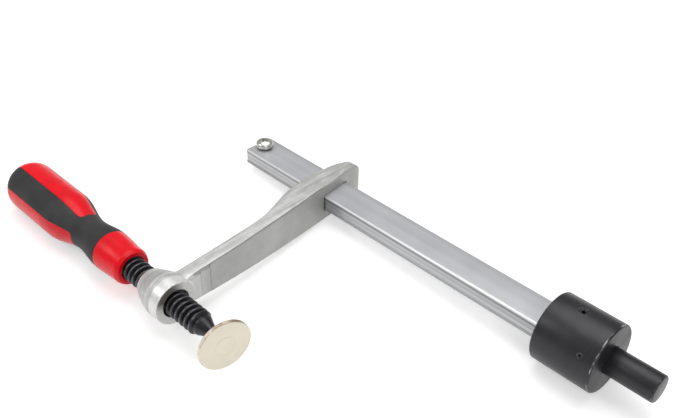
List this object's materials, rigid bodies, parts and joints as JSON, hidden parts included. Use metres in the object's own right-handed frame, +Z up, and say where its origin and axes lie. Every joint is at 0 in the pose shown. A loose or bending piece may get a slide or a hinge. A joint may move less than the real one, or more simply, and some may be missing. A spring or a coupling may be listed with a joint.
{
  "type": "welding table clamp",
  "caption": "Screw clamp for a welding table: flat steel rail with a round stud, sliding cast arm, screw spindle with a two-colour handle and a swivelling pressure plate.",
  "frame": {"origin": "centre of the collar's shoulder face, where the stud starts", "axes": "+X along the rail and out through the stud, +Z up as the clamp lies flat, the arm reaches towards -Y"},
  "size_m": [0.3844, 0.1789, 0.0406],
  "materials": {
    "rail": "zinc plated, drawn",
    "zinc": "zinc plated, bright",
    "burnished": "turned and burnished black",
    "hardened": "hardened, black",
    "casting": "rough casting, zinc plated",
    "spindle": "rolled thread, burnished black",
    "handle_core": "satin red",
    "handle_grip": "soft grip, matte black",
    "cup": "bronze",
    "plate": "nickel plated, satin"
  },
  "bodies": {
    "rail_body": {"rail": "rail", "end_stop_screw": "zinc", "end_stop_washer": "zinc", "collar": "burnished", "stud": "burnished", "stud_pin": "hardened", "grub_screw": "hardened"},
    "arm": {"sliding_arm": "casting"},
    "feed": {"thrust_cup": "cup"},
    "screw": {"spindle": "spindle", "handle_core": "handle_core", "handle_grip": "handle_grip"},
    "swivel": {"retaining_ring": "hardened"},
    "plate": {"pressure_plate": "plate"}
  },
  "joints": [
    {"name": "arm_slide", "type": "slide", "parent": "rail_body", "child": "arm", "axis": [1, 0, 0], "range_m": [-0.0468, 0.1625]},
    {"name": "spindle_feed", "type": "slide", "parent": "arm", "child": "feed", "axis": [1, 0, 0], "range_m": [-0.0316, 0.0157]},
    {"name": "spindle_turn", "type": "hinge", "parent": "feed", "child": "screw", "pos_m": [-0.1506, -0.1349, 0], "axis": [1, 0, 0], "range_deg": [-2835, 1404]},
    {"name": "plate_swing", "type": "hinge", "parent": "feed", "child": "swivel", "pos_m": [-0.1506, -0.1349, 0], "axis": [0, 0, 1], "range_deg": [-5, 25]},
    {"name": "plate_nod", "type": "hinge", "parent": "swivel", "child": "plate", "pos_m": [-0.1506, -0.1349, 0], "axis": [0.1736, 0.9848, 0], "range_deg": [-15, 15]}
  ],
  "couplings": [
    {"joint": "spindle_feed", "follows": "spindle_turn", "m_per_rad": 0.00063662}
  ]
}
